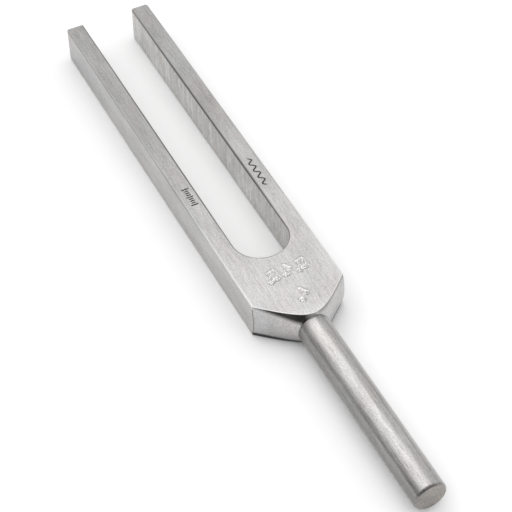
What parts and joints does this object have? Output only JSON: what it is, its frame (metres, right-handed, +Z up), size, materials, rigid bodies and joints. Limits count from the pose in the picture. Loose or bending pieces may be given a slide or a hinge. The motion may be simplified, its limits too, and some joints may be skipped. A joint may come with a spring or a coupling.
{
  "type": "tuning fork",
  "caption": "Flat-bar tuning fork with parallel tines, a half-round gap and coned shoulders, on a plain round handle held by a hidden threaded stud.",
  "frame": {"origin": "middle of the bottom of the bounding box, with the fork lying on its back face", "axes": "+X along the handle towards the tine tips, +Y across the tines, +Z up out of the marked face"},
  "size_m": [0.277, 0.038, 0.016],
  "materials": {
    "fork_aluminium": "fine brushed, satin",
    "handle_aluminium": "turned and brushed lengthways, satin",
    "stud_steel": "plain machined"
  },
  "bodies": {
    "root": {"fork_body": "fork_aluminium", "handle": "handle_aluminium", "joining_stud": "stud_steel"}
  },
  "joints": []
}
